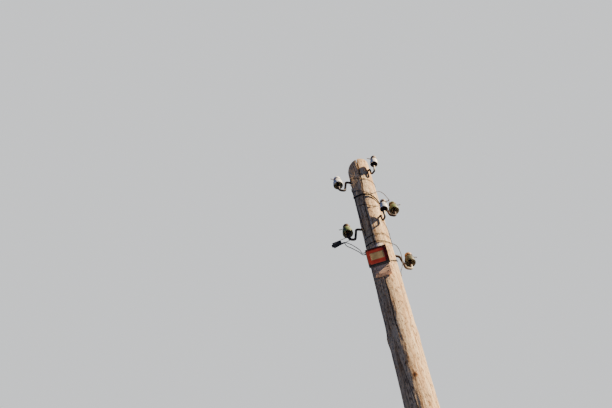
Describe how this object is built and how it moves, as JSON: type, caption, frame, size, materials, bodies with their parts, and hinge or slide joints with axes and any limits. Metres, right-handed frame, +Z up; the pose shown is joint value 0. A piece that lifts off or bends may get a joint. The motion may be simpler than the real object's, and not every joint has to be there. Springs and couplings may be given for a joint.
{
  "type": "wooden telephone pole",
  "caption": "Round tapered timber telephone pole with porcelain insulators on steel hooks, a terminal box on a board, a service clamp and its leads.",
  "frame": {"origin": "centre of the pole's foot at ground level", "axes": "+Z up the pole, -Y out of the terminal box's cover, +X to the right of someone who faces the box"},
  "size_m": [0.4847, 0.2716, 7.48],
  "materials": {
    "weathered_timber": "dry weathered softwood, grey with checks",
    "board_timber": "old brown board, streaked",
    "rusted_steel": "rolled bar with old paint and rust",
    "white_porcelain": "white glaze",
    "green_porcelain": "pale green glaze, dusty",
    "brown_porcelain": "olive brown glaze",
    "tie_wire": "soft iron wire, rusted",
    "tarred_tow": "tarred tow",
    "grey_casting": "dull grey paint",
    "black_enamel": "dull black enamel",
    "red_enamel": "faded red enamel",
    "tan_enamel": "faded tan paint",
    "black_rubber": "moulded",
    "black_plastic": "weathered polymer",
    "black_sheath": "sun-dulled sheath",
    "grey_sheath": "sun-bleached sheath"
  },
  "bodies": {
    "root": {"pole_shaft": "weathered_timber", "hook_top_right": "rusted_steel", "insulator_top_right": "white_porcelain", "neck_tie_top_right": "tie_wire", "hook_mid_right": "rusted_steel", "insulator_mid_right": "white_porcelain", "neck_tie_mid_right": "tie_wire", "hook_rear_upper": "rusted_steel", "insulator_rear_upper": "green_porcelain", "neck_tie_rear_upper": "tie_wire", "hook_rear_lower": "rusted_steel", "insulator_rear_lower": "brown_porcelain", "neck_tie_rear_lower": "tie_wire", "hook_left_upper": "rusted_steel", "insulator_left_upper": "white_porcelain", "neck_tie_left_upper": "tie_wire", "hook_left_lower": "rusted_steel", "insulator_left_lower": "green_porcelain", "neck_tie_left_lower": "tie_wire", "pin_packings": "tarred_tow", "mounting_board": "board_timber", "box_body": "grey_casting", "box_rim": "black_enamel", "box_frame": "red_enamel", "box_panel": "tan_enamel", "lead_glands": "black_rubber", "clamp_body": "black_plastic", "clamp_wedge": "black_plastic", "clamp_bail": "rusted_steel", "service_lead_upper": "black_sheath", "service_lead_lower": "black_sheath", "jumper_upper": "grey_sheath", "jumper_lower": "grey_sheath", "binding_wire": "tie_wire", "thick_cable": "black_sheath", "thin_loop": "tie_wire", "cross_lead": "black_sheath", "riser_right": "black_sheath", "riser_left": "black_sheath", "box_lead": "black_sheath"}
  },
  "joints": []
}
